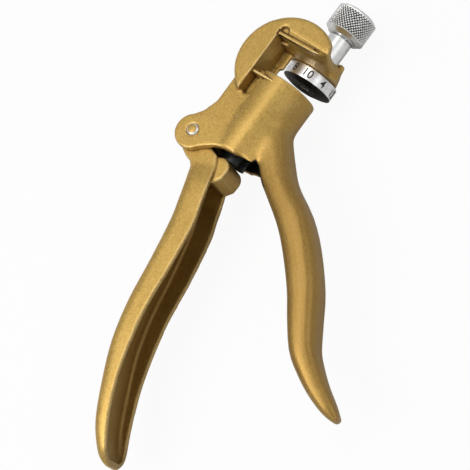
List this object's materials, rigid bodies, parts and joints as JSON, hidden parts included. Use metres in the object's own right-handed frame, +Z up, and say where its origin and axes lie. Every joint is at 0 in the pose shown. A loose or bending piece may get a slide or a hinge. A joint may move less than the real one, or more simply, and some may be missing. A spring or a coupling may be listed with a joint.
{
  "type": "pistol-grip saw set",
  "caption": "Plier-like saw set with a cast frame, sighting plate, squeeze lever, two-stage plunger and a turning anvil disc held by a knurled screw.",
  "frame": {"origin": "middle of the tool's outline seen from above, on the floor it lies on", "axes": "+X forward along the plunger towards the knob, +Y to the side of the pivot, +Z up out of the sighting plate"},
  "size_m": [0.1852, 0.1111, 0.0333],
  "materials": {
    "gold_paint": "metallic gold enamel on a casting",
    "bright_steel": "bright turned steel",
    "black_steel": "blackened steel",
    "spring_steel": "drawn wire",
    "ground_steel": "ground and stamped",
    "plated_steel": "nickel plated, diamond knurl on the knob"
  },
  "bodies": {
    "frame": {"frame_casting": "gold_paint", "pivot_pin": "bright_steel", "return_spring": "spring_steel"},
    "lever": {"squeeze_lever": "gold_paint"},
    "clamp": {"clamping_sleeve": "black_steel", "striker_spring": "spring_steel"},
    "striker": {"striker": "black_steel"},
    "anvil": {"anvil_disc": "ground_steel"},
    "washer": {"washer_ring": "bright_steel"},
    "knob": {"anvil_screw": "plated_steel", "knurled_knob": "plated_steel"}
  },
  "joints": [
    {"name": "lever_swing", "type": "hinge", "parent": "frame", "child": "lever", "pos_m": [0.02035, 0.04885, 0.0193], "axis": [0, 0, 1], "range_deg": [0, 15], "stiffness_Nm_per_rad": 1.2, "springref_deg": -14.32},
    {"name": "clamp_slide", "type": "slide", "parent": "frame", "child": "clamp", "axis": [1, 0, 0], "range_m": [0, 0.00335], "deforming": ["return_spring"]},
    {"name": "striker_slide", "type": "slide", "parent": "frame", "child": "striker", "axis": [1, 0, 0], "range_m": [0, 0.0042], "deforming": ["striker_spring"]},
    {"name": "anvil_turn", "type": "hinge", "parent": "frame", "child": "anvil", "pos_m": [0.05995, 0.03265, 0.0099], "axis": [1, 0, 0], "continuous": true},
    {"name": "washer_lift", "type": "slide", "parent": "frame", "child": "washer", "axis": [1, 0, 0], "range_m": [0, 0.0016]},
    {"name": "knob_turn", "type": "hinge", "parent": "washer", "child": "knob", "pos_m": [0.08695, 0.03265, 0.0099], "axis": [1, 0, 0], "range_deg": [0, 720]}
  ],
  "couplings": [
    {"joint": "clamp_slide", "follows": "lever_swing", "m_per_rad": 0.012795},
    {"joint": "striker_slide", "follows": "lever_swing", "m_per_rad": 0.016},
    {"joint": "knob_turn", "follows": "washer_lift", "rad_per_m": 7854}
  ]
}
